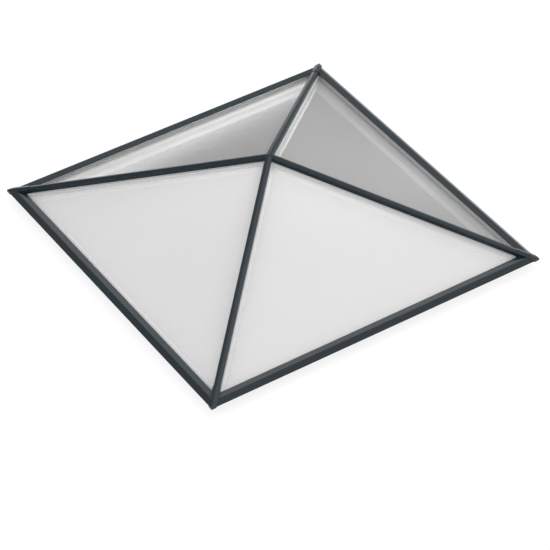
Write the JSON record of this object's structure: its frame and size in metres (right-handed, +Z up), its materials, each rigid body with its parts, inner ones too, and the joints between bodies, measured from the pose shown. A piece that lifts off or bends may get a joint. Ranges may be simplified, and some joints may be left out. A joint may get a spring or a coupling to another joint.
{
  "type": "roof skylight",
  "caption": "Low square pyramid roof skylight with dark metal frame, peaked hip caps, corner boots and triangular double-glazed panes.",
  "frame": {"origin": "middle of the plan on the underside of the ring beam", "axes": "+Z up, +X and +Y square to two sides of the frame"},
  "size_m": [2.006, 2.006, 0.5219],
  "materials": {
    "dark_frame": "matte anthracite powder coat",
    "white_frame": "satin white powder coat",
    "bare_aluminium": "mill finish",
    "steel_fixings": "plain stainless",
    "rubber_seal": "pale grey silicone seal",
    "black_plastic": "matte black",
    "spacer_bar": "light grey warm-edge",
    "pane_glass": "clear glass with a pale grey sky reflection"
  },
  "bodies": {
    "root": {"ring_beam_front": "white_frame", "ring_beam_right": "white_frame", "ring_beam_back": "white_frame", "ring_beam_left": "white_frame", "thermal_break_front": "black_plastic", "thermal_break_right": "black_plastic", "thermal_break_back": "black_plastic", "thermal_break_left": "black_plastic", "eaves_fascia_front": "dark_frame", "eaves_fascia_right": "dark_frame", "eaves_fascia_back": "dark_frame", "eaves_fascia_left": "dark_frame", "eaves_cap_front": "dark_frame", "eaves_cap_right": "dark_frame", "eaves_cap_back": "dark_frame", "eaves_cap_left": "dark_frame", "eaves_gasket_front": "rubber_seal", "eaves_gasket_right": "rubber_seal", "eaves_gasket_back": "rubber_seal", "eaves_gasket_left": "rubber_seal", "outer_pane_front": "pane_glass", "outer_pane_right": "pane_glass", "outer_pane_back": "pane_glass", "outer_pane_left": "pane_glass", "inner_pane_front": "pane_glass", "inner_pane_right": "pane_glass", "inner_pane_back": "pane_glass", "inner_pane_left": "pane_glass", "spacer_front": "spacer_bar", "spacer_right": "spacer_bar", "spacer_back": "spacer_bar", "spacer_left": "spacer_bar", "hip_rafter_front_right": "white_frame", "hip_rafter_back_right": "white_frame", "hip_rafter_back_left": "white_frame", "hip_rafter_front_left": "white_frame", "hip_gasket_front_right": "rubber_seal", "hip_gasket_back_right": "rubber_seal", "hip_gasket_back_left": "rubber_seal", "hip_gasket_front_left": "rubber_seal", "pressure_plate_front_right": "bare_aluminium", "pressure_plate_back_right": "bare_aluminium", "pressure_plate_back_left": "bare_aluminium", "pressure_plate_front_left": "bare_aluminium", "hip_cap_front_right": "dark_frame", "hip_cap_back_right": "dark_frame", "hip_cap_back_left": "dark_frame", "hip_cap_front_left": "dark_frame", "corner_cap_front_right": "dark_frame", "corner_cap_back_right": "dark_frame", "corner_cap_back_left": "dark_frame", "corner_cap_front_left": "dark_frame", "apex_hub": "bare_aluminium", "hub_cover": "white_frame", "hub_bolts": "steel_fixings", "corner_cleats": "bare_aluminium", "rafter_plugs": "bare_aluminium", "foot_screws": "steel_fixings", "plate_screws": "steel_fixings", "setting_blocks": "black_plastic"}
  },
  "joints": []
}
